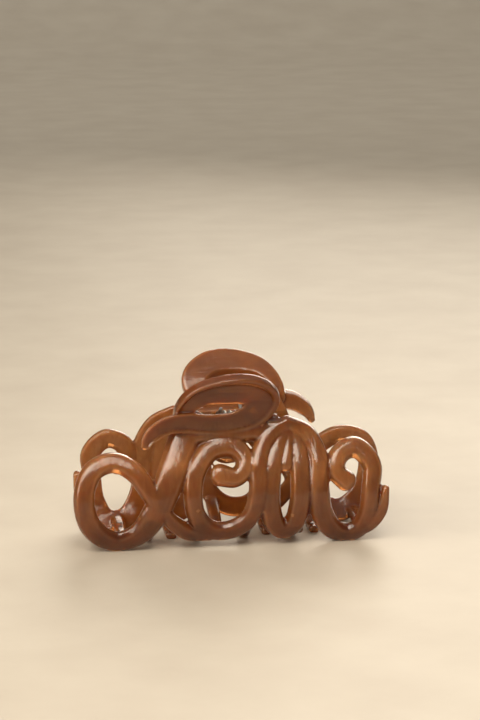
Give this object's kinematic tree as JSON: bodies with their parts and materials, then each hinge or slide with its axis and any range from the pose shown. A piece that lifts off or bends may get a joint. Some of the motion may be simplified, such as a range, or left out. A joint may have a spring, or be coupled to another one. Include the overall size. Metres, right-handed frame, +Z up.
{
  "type": "claw hair clip",
  "caption": "Spring-loaded hair clip of two identical openwork scroll jaws with flared thumb handles, interleaving teeth, a hinge pin and a torsion spring.",
  "frame": {"origin": "on the surface that the clip stands on, under the middle of the hinge axis", "axes": "+X along the hinge axis and the length of the clip, +Z up from the teeth to the handles, -Y out through the front jaw"},
  "size_m": [0.1098, 0.0462, 0.0601],
  "materials": {
    "front_plastic": "glossy milky caramel brown, slightly translucent",
    "rear_plastic": "glossy milky caramel brown, slightly translucent",
    "pin_steel": "bright drawn steel",
    "spring_steel": "drawn spring wire"
  },
  "bodies": {
    "front_half": {"front_jaw": "front_plastic", "hinge_pin": "pin_steel", "torsion_spring": "spring_steel"},
    "rear_half": {"rear_jaw": "rear_plastic"}
  },
  "joints": [
    {"name": "jaw_hinge", "type": "hinge", "parent": "front_half", "child": "rear_half", "pos_m": [0, 0, 0.04], "axis": [1, 0, 0], "range_deg": [0, 80], "stiffness_Nm_per_rad": 0.2, "springref_deg": -51.57, "deforming": ["torsion_spring"]}
  ]
}
